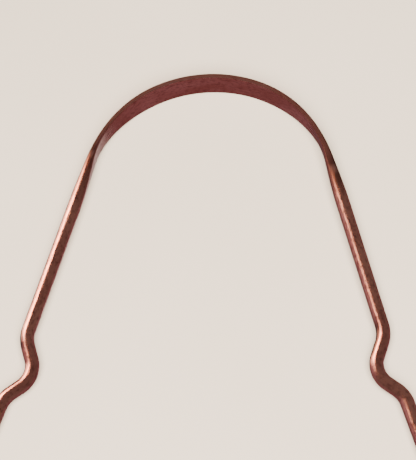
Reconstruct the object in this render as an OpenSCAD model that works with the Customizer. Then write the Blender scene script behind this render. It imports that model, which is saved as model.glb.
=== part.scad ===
// Tongue scraper: a flattened copper blade bent to an arch, with a round rod handle on each end.
// The arch and both handles lie in one plane. The part lies flat, with the arch towards +Y.

/* [Rod] */
// Diameter of the round rod
rod_d = 3.2; // [2.6:0.1:4.2]

/* [Blade] */
// Width of the flattened blade at the middle of the arch, from edge to edge
blade_w = 6.8; // [5.5:0.1:8.5]
// Length of full width on each side of the middle
full_len = 14; // [2:0.5:20]
// Width of the blade at the ends of the arch
neck_w = 4.4; // [3.6:0.1:7]
// Thickness of the blade
blade_t = 1.1; // [0.9:0.1:1.8]
// Radius on the blade's long edges
edge_r = 0.35; // [0.2:0.05:0.4]

/* [Arch] */
// Bend radius of the arch, to the middle of the blade
arch_r = 28.5; // [22:0.5:36]
// Angle between each leg and the centre line
leg_splay = 15; // [5:1:25]
// Straight length of each leg, from the arch to the finger stop
leg_len = 44.7; // [38:0.1:60]

/* [Shoulder] */
// Length over which the flat blade turns into round rod
blend_len = 20; // [16:0.5:24]
// Length of that stretch that lies inside the end of the arch
blend_lead = 7.8; // [2:0.2:12]
// Length of round stub on the blade, up to the joint
stub_len = 3; // [1:0.5:6]

/* [Joint] */
// Diameter of the hidden spigot
spigot_d = 1.6; // [1:0.1:2]
// Length of the hidden spigot
spigot_len = 6; // [3:0.5:10]
// Room for braze around the spigot, on the radius
braze_gap = 0.05; // [0.02:0.01:0.1]
// Room past the spigot's end
end_gap = 0.5; // [0.2:0.1:1]

/* [Finger stop] */
// Bend radius of the outer knuckle
knuckle_r = 8; // [3:0.5:12]
// Angle by which the waist leans in towards the centre line
waist_lean = 16.5; // [0:0.5:25]
// Straight length of the waist
waist_len = 3.5; // [1:0.1:8]
// Bend radius of the hollow where the finger sits
hollow_r = 6; // [3:0.5:9]
// Angle between the ramp and the centre line
ramp_angle = 53; // [35:1:65]
// Straight length of the ramp
ramp_len = 2.3; // [1:0.1:6]
// Bend radius from the ramp to the grip
heel_r = 6.5; // [3:0.5:9]

/* [Grip] */
// Angle between each grip and the centre line
grip_splay = 17.5; // [5:0.5:30]
// Straight length of each grip
grip_len = 42; // [25:1:60]
// Radius on the end of each grip
tip_r = 1.1; // [0.4:0.1:1.2]

/* [Hidden] */
copper = [0.72, 0.42, 0.33];
$fn = 64;
rod_r = rod_d / 2;
// Points round one corner of the blade's section, and the angle between them
corner_points = 5;
corner_step = 90 / corner_points;
// Spacing of the sections along the arch, and their number from there to each stub
section_gap = 1.5;
blend_steps = 10;
// A bend is a hair thicker than the straight rod, which runs on into it by the lap, so the two are one solid
bend_swell = 0.01;
bend_lap = 0.05;

// Headings are angles turned clockwise from +X, so the crown heads along 0 and a leg along 90 less its splay
leg_heading = 90 - leg_splay;
waist_heading = 90 + waist_lean;
ramp_heading = 90 - ramp_angle;
grip_heading = 90 - grip_splay;

function along(heading) = [cos(heading), -sin(heading)];
function inward(heading) = [-sin(heading), -cos(heading)];
function ahead(from, heading, length) = from + length * along(heading);
function bent(from, radius, heading, next) =
    from + sign(next - heading) * radius * (inward(heading) - inward(next));
function mix(a, b, share) = a + (b - a) * share;
function ease(x) = x <= 0 ? 0 : x >= 1 ? 1 : x * x * (3 - 2 * x);

// Corners of the right half's centre line, measured from the top of the crown
crown_top = [0, 0];
arch_end = bent(crown_top, arch_r, 0, leg_heading);
knuckle_start = ahead(arch_end, leg_heading, leg_len);
knuckle_end = bent(knuckle_start, knuckle_r, leg_heading, waist_heading);
hollow_start = ahead(knuckle_end, waist_heading, waist_len);
hollow_end = bent(hollow_start, hollow_r, waist_heading, ramp_heading);
heel_start = ahead(hollow_end, ramp_heading, ramp_len);
heel_end = bent(heel_start, heel_r, ramp_heading, grip_heading);
grip_end = ahead(heel_end, grip_heading, grip_len);

// Lengths along the blade's centre line, from the top of the crown
arch_len = arch_r * leg_heading * PI / 180;
flat_len = arch_len - blend_lead;
round_len = flat_len + blend_len;
seam_len = round_len + stub_len;
seam = ahead(arch_end, leg_heading, seam_len - arch_len);

// Heading and place of the blade's centre line at a length from the top of the crown
function blade_heading(length) = leg_heading * min(length / arch_len, 1);
function blade_place(length) =
    length < arch_len ? bent(crown_top, arch_r, 0, blade_heading(length)) :
    ahead(arch_end, leg_heading, length - arch_len);

// Section of the blade at that length: a rectangle with rounded edges that turns into the rod's circle
function roundness(length) = ease((length - flat_len) / blend_len);
function flat_width(length) = mix(blade_w, neck_w, ease((length - full_len) / (arch_len - full_len)));
function section(length) =
    let (
        share = roundness(length),
        half_w = mix(flat_width(length), rod_d, share) / 2,
        half_t = mix(blade_t, rod_d, share) / 2,
        radius = mix(edge_r, rod_r, share),
        reach = radius / cos(corner_step / 2)
    )
    [for (corner = [0:3], i = [0:corner_points - 1])
        let (
            angle = 90 * corner + corner_step * (i + 0.5),
            side_t = corner == 0 || corner == 3 ? 1 : -1,
            side_w = corner < 2 ? 1 : -1
        )
        [side_t * (half_t - radius) + reach * cos(angle), side_w * (half_w - radius) + reach * sin(angle)]];

// Section at a length, set square to the centre line; side is 1 on the right half and -1 on the left
function placed_section(length, side) =
    let (place = blade_place(length), out = -inward(blade_heading(length)))
    [for (p = section(length)) [side * (place.x + p.x * out.x), place.y + p.x * out.y, p.y]];

arch_steps = ceil(arch_len / section_gap);
stations = concat(
    [for (i = [0:arch_steps]) arch_len * i / arch_steps],
    [for (i = [1:blend_steps]) mix(arch_len, round_len, i / blend_steps)],
    [seam_len]
);
last = len(stations) - 1;
rings = concat(
    [for (i = [last:-1:1]) placed_section(stations[i], -1)],
    [for (i = [0:last]) placed_section(stations[i], 1)]
);

// Closed skin through the rings, which all have the same number of points
module skin(rings) {
    sides = len(rings[0]);
    ends = len(rings) - 1;
    points = [for (ring = rings) each ring];
    walls = [for (k = [0:ends - 1], i = [0:sides - 1])
        let (next = (i + 1) % sides, a = k * sides, b = a + sides)
        each [[a + i, b + i, a + next], [a + next, b + i, b + next]]];
    first_cap = [for (i = [0:sides - 1]) i];
    last_cap = [for (i = [sides - 1:-1:0]) ends * sides + i];
    polyhedron(points = points, faces = concat(walls, [first_cap, last_cap]));
}

// Puts its children at the right seam, with +Z along the leg and +X away from the centre line
module at_seam() {
    translate([seam.x, seam.y, 0])
        rotate([90, 0, leg_splay])
            children();
}

// Straight round rod, with its children at the far end; it runs on a little way into each bend that it meets
module straight(length, after_bend = true, before_bend = true) {
    start = after_bend ? -bend_lap : 0;
    finish = before_bend ? length + bend_lap : length;
    translate([0, 0, start])
        cylinder(r = rod_r, h = finish - start);
    translate([0, 0, length])
        children();
}

// Round rod bent by an angle, outwards if it is positive, with its children at the far end
module bend(radius, turn) {
    side = sign(turn);
    translate([side * radius, 0, 0]) {
        rotate([90, 0, side > 0 ? 180 : 0])
            rotate_extrude(angle = abs(turn))
                translate([radius, 0])
                    circle(r = rod_r + bend_swell);
        rotate([0, turn, 0])
            translate([-side * radius, 0, 0])
                children();
    }
}

// Rounded end of a rod
module tip() {
    rotate_extrude() {
        square([rod_r - tip_r, tip_r]);
        translate([rod_r - tip_r, 0])
            intersection() {
                circle(r = tip_r);
                square(tip_r);
            }
    }
}

module both_sides() {
    children();
    mirror([1, 0, 0])
        children();
}

// Hidden pin on the blade's end, rooted in the stub
module spigot() {
    at_seam()
        translate([0, 0, -stub_len])
            cylinder(d = spigot_d, h = stub_len + spigot_len);
}

// Blind hole that takes the spigot, cut from past the handle's end
module socket() {
    at_seam()
        translate([0, 0, -end_gap])
            cylinder(d = spigot_d + 2 * braze_gap, h = spigot_len + 2 * end_gap);
}

module handle() {
    difference() {
        at_seam()
            straight(leg_len - (seam_len - arch_len), after_bend = false)
            bend(knuckle_r, -waist_lean - leg_splay)
            straight(waist_len)
            bend(hollow_r, ramp_angle + waist_lean)
            straight(ramp_len)
            bend(heel_r, grip_splay - ramp_angle)
            straight(grip_len, before_bend = false)
            tip();
        socket();
    }
}

// Lifts the part on to the floor and brings the middle of its length to the origin
top_y = blade_t / 2;
bottom_y = grip_end.y - tip_r - (rod_r - tip_r) * sin(grip_splay);
module lying() {
    translate([0, -(top_y + bottom_y) / 2, blade_w / 2])
        children();
}

module blade() {
    color(copper) lying() {
        skin(rings);
        both_sides() spigot();
    }
}

module right_handle() {
    color(copper) lying() handle();
}

module left_handle() {
    color(copper) lying() mirror([1, 0, 0]) handle();
}

blade();
left_handle();
right_handle();
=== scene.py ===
import math

import bmesh
import bpy
from mathutils import Matrix, Vector


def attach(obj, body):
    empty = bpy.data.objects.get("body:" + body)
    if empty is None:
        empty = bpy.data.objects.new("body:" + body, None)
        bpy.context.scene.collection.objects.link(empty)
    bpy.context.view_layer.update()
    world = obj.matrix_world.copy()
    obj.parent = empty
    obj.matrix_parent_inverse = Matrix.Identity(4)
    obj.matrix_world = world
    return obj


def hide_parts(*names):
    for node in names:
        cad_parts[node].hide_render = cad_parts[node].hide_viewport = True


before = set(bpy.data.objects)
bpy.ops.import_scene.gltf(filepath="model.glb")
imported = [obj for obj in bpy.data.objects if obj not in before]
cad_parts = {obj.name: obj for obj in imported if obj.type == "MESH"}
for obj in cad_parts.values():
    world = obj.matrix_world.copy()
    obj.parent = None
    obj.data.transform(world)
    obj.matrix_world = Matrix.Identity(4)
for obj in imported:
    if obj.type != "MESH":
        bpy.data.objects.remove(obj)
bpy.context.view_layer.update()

MM = 0.001
LEFT = -1
RIGHT = 1

# Sizes in mm and angles in degrees, as the solids have them
ROD_R = 1.6
BLADE_W = 6.8
FULL_LEN = 14.0
NECK_W = 4.4
BLADE_T = 1.1
EDGE_R = 0.35
ARCH_R = 28.5
LEG_SPLAY = 15.0
LEG_LEN = 44.7
BLEND_LEN = 20.0
BLEND_LEAD = 7.8
STUB_LEN = 3.0
KNUCKLE_R = 8.0
WAIST_LEAN = 16.5
WAIST_LEN = 3.5
HOLLOW_R = 6.0
RAMP_ANGLE = 53.0
RAMP_LEN = 2.3
HEEL_R = 6.5
GRIP_SPLAY = 17.5
GRIP_LEN = 42.0
TIP_R = 1.1

# Headings are turned clockwise from +X, so the crown heads along 0
LEG_HEADING = 90 - LEG_SPLAY
WAIST_HEADING = 90 + WAIST_LEAN
RAMP_HEADING = 90 - RAMP_ANGLE
GRIP_HEADING = 90 - GRIP_SPLAY

# Lengths along the centre line, from the top of the crown
ARCH_LEN = ARCH_R * math.radians(LEG_HEADING)
FLAT_LEN = ARCH_LEN - BLEND_LEAD
SEAM_LEN = FLAT_LEN + BLEND_LEN + STUB_LEN


def bend(radius, start, end):
    """Length and turn of a stretch of the centre line that bends from one heading to another."""
    return radius * math.radians(abs(end - start)), end - start


# Length and turn of each stretch of the right half's centre line, from the top of the crown
STRETCHES = [
    bend(ARCH_R, 0, LEG_HEADING),
    (LEG_LEN, 0),
    bend(KNUCKLE_R, LEG_HEADING, WAIST_HEADING),
    (WAIST_LEN, 0),
    bend(HOLLOW_R, WAIST_HEADING, RAMP_HEADING),
    (RAMP_LEN, 0),
    bend(HEEL_R, RAMP_HEADING, GRIP_HEADING),
    (GRIP_LEN, 0),
]
TOTAL_LEN = sum(run for run, turn in STRETCHES)


def ahead_of(heading):
    return Vector((math.cos(math.radians(heading)), -math.sin(math.radians(heading)), 0))


def place(length):
    """Point of the centre line and its heading, at a length from the top of the crown."""
    point = Vector((0, 0, 0))
    heading = 0.0
    to_go = length
    for run, turn in STRETCHES:
        step = min(to_go, run)
        if turn:
            radius = run / math.radians(turn)
            a = math.radians(heading)
            b = math.radians(heading + turn * step / run)
            point = point + radius * Vector((math.sin(b) - math.sin(a), math.cos(b) - math.cos(a), 0))
            heading += turn * step / run
        else:
            point = point + step * ahead_of(heading)
        to_go -= step
        if to_go <= 0:
            break
    return point, heading


# Shift from the top of the crown to the shared frame, which has the origin half way along the part and its
# lowest edge at height 0
GRIP_END = place(TOTAL_LEN)[0]
TOP_Y = BLADE_T / 2
BOTTOM_Y = GRIP_END.y - TIP_R - (ROD_R - TIP_R) * math.sin(math.radians(GRIP_SPLAY))
SHIFT = Vector((0, -(TOP_Y + BOTTOM_Y) / 2, BLADE_W / 2))

# Camera, in degrees and mm. It shows the point AIM at the pixel AIM_PX of a frame of the photograph's size.
CAM_AZIMUTH = -8.6
CAM_ELEVATION = 59.9
CAM_ROLL = -8.315
CAM_DISTANCE = 500.0
NEAR_CLIP = 10.0
FAR_CLIP = 20000.0
SENSOR_HEIGHT = 36.0
FRAME_W = 416
FRAME_H = 460
PX_PER_MM = 4.394
AIM_PX = (207.713, 212.202)
AIM_FROM_CROWN = 35.0
AIM = Vector((0, -AIM_FROM_CROWN, 0)) + SHIFT


def add_camera():
    """Camera with the photograph's angle and scale."""
    azimuth, elevation, roll = (math.radians(a) for a in (CAM_AZIMUTH, CAM_ELEVATION, CAM_ROLL))
    level = math.cos(elevation)
    forward = Vector((math.sin(azimuth) * level, math.cos(azimuth) * level, -math.sin(elevation)))
    right = Vector((math.cos(azimuth), -math.sin(azimuth), 0))
    up = right.cross(forward)
    rolled_right = math.cos(roll) * right + math.sin(roll) * up
    rolled_up = -math.sin(roll) * right + math.cos(roll) * up
    data = bpy.data.cameras.new("camera")
    data.sensor_fit = "VERTICAL"
    data.sensor_height = SENSOR_HEIGHT
    data.lens = SENSOR_HEIGHT * CAM_DISTANCE / (FRAME_H / PX_PER_MM)
    data.shift_x = (FRAME_W / 2 - AIM_PX[0]) / FRAME_H
    data.shift_y = (AIM_PX[1] - FRAME_H / 2) / FRAME_H
    data.clip_start = NEAR_CLIP * MM
    data.clip_end = FAR_CLIP * MM
    camera = bpy.data.objects.new("camera", data)
    bpy.context.scene.collection.objects.link(camera)
    turn = Matrix((rolled_right, rolled_up, -forward)).transposed().to_4x4()
    camera.matrix_world = Matrix.Translation((AIM - CAM_DISTANCE * forward) * MM) @ turn
    bpy.context.scene.camera = camera


add_camera()

# Depth in mm that a height of 1 stands for in a bump
BUMP_DEPTH = 0.1


def nodes_of(material):
    """Node tree of a material and its one shader, which goes to the output."""
    material.use_nodes = True
    tree = material.node_tree
    tree.nodes.clear()
    out = tree.nodes.new("ShaderNodeOutputMaterial")
    shader = tree.nodes.new("ShaderNodeBsdfPrincipled")
    tree.links.new(shader.outputs[0], out.inputs[0])
    return tree, shader


def add_node(tree, kind, values=None, **settings):
    node = tree.nodes.new(kind)
    for name, value in settings.items():
        setattr(node, name, value)
    for socket, value in (values or {}).items():
        node.inputs[socket].default_value = value
    return node


def noise_of(tree, vector, scale, detail, rough=0.55):
    node = add_node(tree, "ShaderNodeTexNoise", {"Scale": scale, "Detail": detail, "Roughness": rough})
    tree.links.new(vector, node.inputs["Vector"])
    return node.outputs["Fac"]


def grain(tree, where, along, across, detail, rough=0.55):
    """Noise with this many cells per mm along the piece and across it."""
    node = add_node(tree, "ShaderNodeMapping", {"Scale": (along, across, across)})
    tree.links.new(where, node.inputs["Vector"])
    return noise_of(tree, node.outputs["Vector"], 1.0, detail, rough)


def remap(tree, value, low, high, to_low=0, to_high=1):
    node = add_node(tree, "ShaderNodeMapRange", {1: low, 2: high, 3: to_low, 4: to_high})
    tree.links.new(value, node.inputs[0])
    return node.outputs[0]


def combined(tree, operation, a, b):
    node = add_node(tree, "ShaderNodeMath", operation=operation)
    tree.links.new(a, node.inputs[0])
    tree.links.new(b, node.inputs[1])
    return node.outputs[0]


def band(tree, value, limits):
    """Rises from 0 to 1 between the first two limits, and falls back to 0 between the last two."""
    start, full, falling, end = limits
    return combined(tree, "MINIMUM", remap(tree, value, start, full), remap(tree, value, falling, end, 1, 0))


def mark(tree, length, limits, outward, reach):
    """Band along the piece, cut down to one side of it."""
    return combined(tree, "MINIMUM", band(tree, length, limits), remap(tree, outward, *reach))


def mixed(tree, share, a, b):
    """Colour that goes from a to b, each of which is a socket or a colour."""
    node = add_node(tree, "ShaderNodeMix", data_type="RGBA")
    tree.links.new(share, node.inputs["Factor"])
    for socket, colour in ((node.inputs[6], a), (node.inputs[7], b)):
        if isinstance(colour, bpy.types.NodeSocket):
            tree.links.new(colour, socket)
        else:
            socket.default_value = colour
    return node.outputs[2]


def add_bump(tree, shader, height, strength):
    node = add_node(tree, "ShaderNodeBump", {"Strength": strength, "Distance": BUMP_DEPTH * MM})
    tree.links.new(height, node.inputs["Height"])
    tree.links.new(node.outputs[0], shader.inputs["Normal"])


# Light, middle and dark tone of the copper on the rods and on the blade, then the painted shade at the
# shoulders, along the edge and on the right waist, and the painted dark reflection on the left knuckle
ROD_TONES = ((0.87, 0.51, 0.43, 1), (0.75, 0.40, 0.35, 1), (0.41, 0.18, 0.155, 1))
BLADE_TONES = ((0.86, 0.46, 0.40, 1), (0.70, 0.32, 0.26, 1), (0.42, 0.15, 0.12, 1))
SHOULDER_SHADE_TONE = (0.36, 0.19, 0.16, 1)
EDGE_SHADE_TONE = (0.027, 0.0075, 0.0065, 1)
WAIST_SHADE_TONE = (0.16, 0.085, 0.075, 1)
DARK_REFLECTION_TONE = (0.10, 0.06, 0.05, 1)

# Where the blade's finish turns into the rods', and the band of each shoulder's painted shade, in mm from
# the crown's top
FINISH_CHANGE = (30.0, 50.0)
BOTH_SHOULDERS = (26.0, 33.0, 40.0, 50.0)

# Bands of the painted shade and the painted dark reflection on one half, in mm from the top of the crown,
# with the left half below zero
RIGHT_SHOULDER = (30.0, 37.0, 45.0, 50.0)
DARK_REFLECTION_ON_LEFT_KNUCKLE = (-87.4, -85.4, -83.8, -82.3)
SHADE_ON_RIGHT_WAIST = (79.0, 83.0, 89.5, 92.0)

# How far outward from the centre line the last two start and are full, in mm
DARK_REFLECTION_OUTWARD = (0.9, 1.3)
WAIST_SHADE_OUTWARD = (-0.70, -0.84)

# Roughness before the draw lines and the marks add to it
BLADE_ROUGHNESS = 0.19
ROD_ROUGHNESS = 0.14

# Height of the hairlines, as a share of the draw lines', and the strength of the bump that shows both
HAIR_HEIGHT = 0.2
STREAK_STRENGTH = 0.5

# The edge's painted shade, by its share: where it is fully dark, how its metal fades, and how little it
# mirrors then
EDGE_DARK = 0.62
EDGE_METALLIC = {"low": 0.28, "high": 1, "to_low": 1, "to_high": 0.1}
EDGE_SPECULAR = 0.3


def copper(name):
    """Polished copper with draw lines along the piece, cloudy tarnish and fine grain, with painted shade at
    the shoulders, along the edge and on the right waist, and a painted dark reflection on the left knuckle.
    """
    material = bpy.data.materials.new(name)
    tree, shader = nodes_of(material)
    where = add_node(tree, "ShaderNodeAttribute", attribute_name="along").outputs["Vector"]
    rim = add_node(tree, "ShaderNodeAttribute", attribute_name="rim").outputs["Fac"]
    split = add_node(tree, "ShaderNodeSeparateXYZ")
    tree.links.new(where, split.inputs[0])
    length = split.outputs["X"]
    outward = split.outputs["Y"]
    unsigned = add_node(tree, "ShaderNodeMath", operation="ABSOLUTE")
    tree.links.new(length, unsigned.inputs[0])
    either_half = unsigned.outputs[0]

    rodness = remap(tree, either_half, *FINISH_CHANGE)
    # Painted shade on both shoulders, lasting longer on the right one, that dims the highlight there
    both_shoulders = band(tree, either_half, BOTH_SHOULDERS)
    shoulder = combined(tree, "MAXIMUM", both_shoulders, band(tree, length, RIGHT_SHOULDER))
    # Painted dark reflection on the outside of the left knuckle's bend
    dark_reflection = mark(tree, length, DARK_REFLECTION_ON_LEFT_KNUCKLE, outward, DARK_REFLECTION_OUTWARD)
    # Painted shade on the right waist, beside its highlight
    waist_shade = mark(tree, length, SHADE_ON_RIGHT_WAIST, outward, WAIST_SHADE_OUTWARD)

    cloud = grain(tree, where, along=0.10, across=0.22, detail=3.0)
    speck = grain(tree, where, along=0.9, across=1.6, detail=4.0, rough=0.65)
    lines = grain(tree, where, along=0.25, across=2.6, detail=3.0, rough=0.6)
    hair = grain(tree, where, along=0.4, across=18.0, detail=2.0, rough=0.6)

    # Tones laid over each other: what each follows, where that starts and is full, how much the tone covers.
    # The shoulder, edge and waist tones are painted shade, and the knuckle tone is a painted dark reflection
    light, middle, dark = (mixed(tree, rodness, blade, rod) for blade, rod in zip(BLADE_TONES, ROD_TONES))
    base = light
    for share, start, full, most, tone in (
            (cloud, 0.40, 0.60, 1, middle),
            (speck, 0.48, 0.70, 0.85, dark),
            (shoulder, 0, 1, 0.8, SHOULDER_SHADE_TONE),
            (rim, 0, EDGE_DARK, 0.98, EDGE_SHADE_TONE),
            (waist_shade, 0, 1, 0.9, WAIST_SHADE_TONE),
            (dark_reflection, 0, 1, 0.9, DARK_REFLECTION_TONE)):
        base = mixed(tree, remap(tree, share, start, full, 0, most), base, tone)
    tree.links.new(base, shader.inputs["Base Color"])

    # Roughness that is added: what it follows, where that starts and is full, the most that it adds
    roughness = remap(tree, rodness, 0, 1, BLADE_ROUGHNESS, ROD_ROUGHNESS)
    for share, start, full, most in ((lines, 0.3, 0.7, 0.08), (shoulder, 0, 1, 0.10), (rim, 0, 1, 0.35)):
        roughness = combined(tree, "ADD", roughness, remap(tree, share, start, full, 0, most))
    tree.links.new(roughness, shader.inputs["Roughness"])

    # Where the edge's painted shade lies, it also loses its metal and most of its mirroring, so that no
    # highlight shows there
    tree.links.new(remap(tree, rim, **EDGE_METALLIC), shader.inputs["Metallic"])
    shader.inputs["Specular IOR Level"].default_value = EDGE_SPECULAR
    height = combined(tree, "ADD", lines, remap(tree, hair, 0, 1, 0, HAIR_HEIGHT))
    add_bump(tree, shader, height, STREAK_STRENGTH)
    return material


FLOOR_TONES = ((0.81, 0.68, 0.55, 1), (0.78, 0.65, 0.52, 1))
FLOOR_TONE_CHANGE = (0.3, 0.7)
FLOOR_CLOUDS_PER_M = 14.0
FLOOR_GRAINS_PER_M = 900.0
FLOOR_DETAIL = 2.0
FLOOR_BUMP = 0.08
FLOOR_ROUGHNESS = 0.85
FLOOR_SPECULAR = 0.2


def floor_material():
    """Pale matt surface with faint clouds and a fine grain."""
    material = bpy.data.materials.new("floor_pale")
    tree, shader = nodes_of(material)
    where = add_node(tree, "ShaderNodeTexCoord").outputs["Object"]
    cloud = noise_of(tree, where, FLOOR_CLOUDS_PER_M, FLOOR_DETAIL)
    base = mixed(tree, remap(tree, cloud, *FLOOR_TONE_CHANGE), *FLOOR_TONES)
    tree.links.new(base, shader.inputs["Base Color"])
    add_bump(tree, shader, noise_of(tree, where, FLOOR_GRAINS_PER_M, FLOOR_DETAIL), FLOOR_BUMP)
    shader.inputs["Roughness"].default_value = FLOOR_ROUGHNESS
    shader.inputs["Specular IOR Level"].default_value = FLOOR_SPECULAR
    return material


# Signs (outward, upward) of the corners of the blade's section, in turn
CORNERS = ((1, 1), (-1, 1), (-1, -1), (1, -1))

# Steps round each corner of the section, points along each flat, points round the rod, rings over its tip,
# and the spacing of the rings in mm
CORNER_STEPS = 12
FLAT_SHARES = (0.03, 0.25, 0.5, 0.75, 0.97)
ROUND_POINTS = 64
TIP_STEPS = 10
RING_GAP = 0.4

# The painted shade along the blade's edge: where it starts to fade on each half, and over how far, in mm
EDGE_FADE_START = {LEFT: 30.0, RIGHT: 35.0}
EDGE_FADE = 12.0

# The edge's painted shade round the section: it lies between an outer and an inner tilt, and fades towards
# both. A tilt is the angle from straight outward in degrees, so the flat of an edge is at 90. The painted
# shade reaches further inward at the crown, and CROWN_FADE is the length past the full width over which that
# ends.
OUTER_TILT = 20.0
OUTER_FADE = 20.0
INNER_TILT_AT_CROWN = 165.0
INNER_TILT = 140.0
INNER_FADE = 25.0
CROWN_FADE = 12.0


def ease(x):
    """Smooth rise from 0 to 1."""
    x = min(max(x, 0.0), 1.0)
    return x * x * (3 - 2 * x)


def mix(a, b, share):
    return a + (b - a) * share


def section(length, side):
    """Points (outward, upward, share of the edge's painted shade) round the blade's section at a length.

    The section is a strip with rounded edges that turns into the rod's circle.
    """
    share = ease((length - FLAT_LEN) / BLEND_LEN)
    width = mix(BLADE_W, NECK_W, ease((length - FULL_LEN) / (ARCH_LEN - FULL_LEN)))
    radius = mix(EDGE_R, ROD_R, share)
    corner_out = mix(BLADE_T, 2 * ROD_R, share) / 2 - radius
    corner_up = mix(width, 2 * ROD_R, share) / 2 - radius
    edge = 1 - ease((length - EDGE_FADE_START[side]) / EDGE_FADE)
    inner_tilt = mix(INNER_TILT_AT_CROWN, INNER_TILT, ease((length - FULL_LEN) / CROWN_FADE))
    points = []
    for corner, (out_sign, up_sign) in enumerate(CORNERS):
        for i in range(CORNER_STEPS + 1):
            a = math.radians(90 * corner + 90 * i / CORNER_STEPS)
            tilt = math.degrees(math.atan2(abs(math.sin(a)), math.cos(a)))
            dull = ease(min((tilt - OUTER_TILT) / OUTER_FADE, (inner_tilt - tilt) / INNER_FADE))
            outward = out_sign * corner_out + radius * math.cos(a)
            up = up_sign * corner_up + radius * math.sin(a)
            points.append((outward, up, edge * dull))
        next_out, next_up = CORNERS[(corner + 1) % len(CORNERS)]
        a = math.radians(90 * (corner + 1))
        flat_end = (next_out * corner_out + radius * math.cos(a), next_up * corner_up + radius * math.sin(a))
        flat_edge = edge if next_up == up_sign else 0.0
        for f in FLAT_SHARES:
            points.append((mix(outward, flat_end[0], f), mix(up, flat_end[1], f), flat_edge))
    return points


def circle(radius):
    """Points (outward, upward, share of the edge's painted shade) round the rod's section."""
    turns = [2 * math.pi * i / ROUND_POINTS for i in range(ROUND_POINTS)]
    return [(radius * math.cos(t), radius * math.sin(t), 0.0) for t in turns]


def build(name, stations, sharp_caps):
    """Mesh swept through stations of length, side, points of the section and distance ahead of that length.

    The attribute "along" holds each point's length, below zero on the left half, and its offsets outward and
    upward, in mm. The attribute "rim" holds its share of the edge's painted shade.
    """
    bm = bmesh.new()
    along = bm.verts.layers.float_vector.new("along")
    rim = bm.verts.layers.float.new("rim")
    rings = []
    for length, side, points, beyond in stations:
        point, heading = place(length)
        out = Vector((math.sin(math.radians(heading)), math.cos(math.radians(heading)), 0))
        ahead = ahead_of(heading)
        ring = []
        for outward, up, edge in points:
            at = point + out * outward + ahead * beyond + Vector((0, 0, up)) + SHIFT
            vert = bm.verts.new((side * at.x * MM, at.y * MM, at.z * MM))
            vert[along] = Vector((side * (length + beyond), outward, up))
            vert[rim] = edge
            ring.append(vert)
        rings.append(ring)
    count = len(rings[0])
    for one, other in zip(rings, rings[1:]):
        for i in range(count):
            j = (i + 1) % count
            bm.faces.new((one[i], other[i], other[j], one[j]))
    for ring, sharp in zip((rings[0], rings[-1]), sharp_caps):
        cap = bm.faces.new(ring)
        for edge in cap.edges:
            edge.smooth = not sharp
    bmesh.ops.recalc_face_normals(bm, faces=bm.faces)
    for face in bm.faces:
        face.smooth = True
    mesh = bpy.data.meshes.new(name)
    bm.to_mesh(mesh)
    bm.free()
    piece = bpy.data.objects.new(name, mesh)
    bpy.context.scene.collection.objects.link(piece)
    return piece


def lengths(start, end):
    """Evenly spaced lengths from start to end, at most RING_GAP apart."""
    count = math.ceil((end - start) / RING_GAP)
    return [mix(start, end, i / count) for i in range(count + 1)]


def make_blade():
    """Strip from the left seam over the crown to the right seam, with its round stubs."""
    half = lengths(0.0, SEAM_LEN)
    stations = [(length, LEFT, section(length, LEFT), 0.0) for length in reversed(half[1:])]
    stations += [(length, RIGHT, section(length, RIGHT), 0.0) for length in half]
    return build("blade_strip", stations, (True, True))


def make_handle(name, side):
    """Rod from the seam to the end of the grip, and its rounded tip."""
    stations = [(length, side, circle(ROD_R), 0.0) for length in lengths(SEAM_LEN, TOTAL_LEN)]
    for i in range(1, TIP_STEPS + 1):
        a = math.radians(90 * i / TIP_STEPS)
        radius = ROD_R - TIP_R + TIP_R * math.cos(a)
        stations.append((TOTAL_LEN, side, circle(radius), TIP_R * math.sin(a)))
    return build(name, stations, (True, False))


ROD_COPPER = copper("rod_copper")
BLADE_COPPER = copper("blade_copper")

for piece, node, slot, material in (
        (make_blade(), "blade", "blade_copper", BLADE_COPPER),
        (make_handle("handle_left", LEFT), "left_handle", "rod_copper", ROD_COPPER),
        (make_handle("handle_right", RIGHT), "right_handle", "rod_copper", ROD_COPPER)):
    piece.data.materials.append(material)
    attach(piece, "root")
    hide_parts(node)

# The floor tilts a little, because the part rests on the blade's edge and on the ends of the thinner grips
FLOOR_SIZE = 6000.0
FLOOR_GAP = 0.02
BLADE_REST_Y = 58.0
GRIP_REST_Y = -61.2
GRIP_LIFT = BLADE_W / 2 - ROD_R


def add_floor():
    half = FLOOR_SIZE / 2 * MM
    corners = [(-half, -half, 0), (half, -half, 0), (half, half, 0), (-half, half, 0)]
    mesh = bpy.data.meshes.new("floor")
    mesh.from_pydata(corners, [], [(0, 1, 2, 3)])
    mesh.materials.append(floor_material())
    floor = bpy.data.objects.new("floor", mesh)
    floor.location = (0, BLADE_REST_Y * MM, -FLOOR_GAP * MM)
    floor.rotation_euler = (-math.atan2(GRIP_LIFT, BLADE_REST_Y - GRIP_REST_Y), 0, 0)
    floor.visible_glossy = False
    bpy.context.scene.collection.objects.link(floor)


# One big soft lamp lights the floor and draws the shadows, and the copper doesn't mirror it
OVERHEAD_PLACE = Vector((60.0, -430.0, 900.0))
OVERHEAD_SIZE = 900.0
OVERHEAD_POWER = 50.0
OVERHEAD_COLOUR = (1.0, 0.95, 0.88)


def add_overhead():
    data = bpy.data.lights.new("overhead", "AREA")
    data.size = OVERHEAD_SIZE * MM
    data.energy = OVERHEAD_POWER
    data.color = OVERHEAD_COLOUR
    light = bpy.data.objects.new("overhead", data)
    light.location = OVERHEAD_PLACE * MM
    light.rotation_euler = (OVERHEAD_PLACE - AIM).to_track_quat("Z", "Y").to_euler()
    light.visible_glossy = False
    light.visible_camera = False
    bpy.context.scene.collection.objects.link(light)


# The room that the copper mirrors has one dim tone below and another above, and turns from one to the other
# between two heights of the direction
ROOM_BELOW = (0.24, 0.125, 0.138, 1)
ROOM_ABOVE = (0.175, 0.12, 0.105, 1)
ROOM_CHANGE = (-0.6, 0.1)

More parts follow.
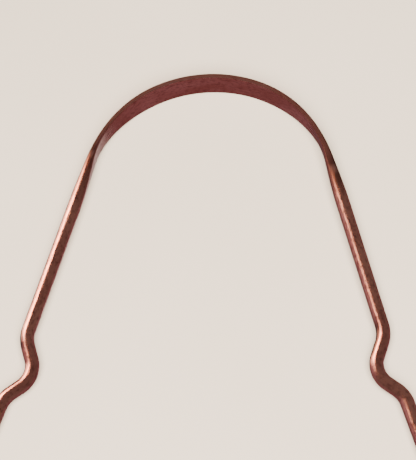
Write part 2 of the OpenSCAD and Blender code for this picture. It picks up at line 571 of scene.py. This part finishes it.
# Directions of the bright patches in it
FRONT = (-0.10, -0.93, 0.35)
BACK = (-0.05, 0.99, 0.10)
BELOW = (0.38, 0.37, -0.85)
LEFT_WALL = (-0.90, 0.33, 0.12)
BACK_LEFT = (-0.80, 0.59, -0.03)
HIGH_LEFT = (-0.70, 0.30, 0.65)
MAIN = (-0.60, 0.62, 0.50)

# Each patch lies over the ones before: its direction, the cosines of the angle from there at which it starts
# and is full, and its colour. The front and the main patch have a dimmer glow round them.
PATCHES = (
    (FRONT, 0.88, 0.96, (0.8, 0.48, 0.38, 1)),
    (FRONT, 0.955, 0.985, (3.0, 1.8, 1.3, 1)),
    (BACK, 0.970, 0.990, (4.0, 2.6, 2.0, 1)),
    (BELOW, 0.988, 0.996, (1.8, 1.6, 1.5, 1)),
    (LEFT_WALL, 0.80, 0.97, (0.46, 0.26, 0.28, 1)),
    (BACK_LEFT, 0.945, 0.98, (3.6, 2.4, 1.75, 1)),
    (HIGH_LEFT, 0.992, 0.998, (7.0, 3.8, 2.4, 1)),
    (MAIN, 0.925, 0.95, (1.1, 1.0, 1.0, 1)),
    (MAIN, 0.955, 0.985, (17.0, 8.7, 4.8, 1)),
)


def add_room():
    """Background for the copper to mirror, which lights nothing that is matt."""
    world = bpy.data.worlds.new("studio")
    bpy.context.scene.world = world
    world.use_nodes = True
    world.cycles_visibility.diffuse = False
    tree = world.node_tree
    way = add_node(tree, "ShaderNodeTexCoord").outputs["Generated"]
    split = add_node(tree, "ShaderNodeSeparateXYZ")
    tree.links.new(way, split.inputs[0])
    room = mixed(tree, remap(tree, split.outputs["Z"], *ROOM_CHANGE), ROOM_BELOW, ROOM_ABOVE)
    for direction, start, full, colour in PATCHES:
        middle = Vector(direction).normalized()
        toward = add_node(tree, "ShaderNodeVectorMath", {1: middle}, operation="DOT_PRODUCT")
        tree.links.new(way, toward.inputs[0])
        room = mixed(tree, remap(tree, toward.outputs["Value"], start, full), room, colour)
    tree.links.new(room, tree.nodes["Background"].inputs[0])


add_floor()
add_overhead()
add_room()
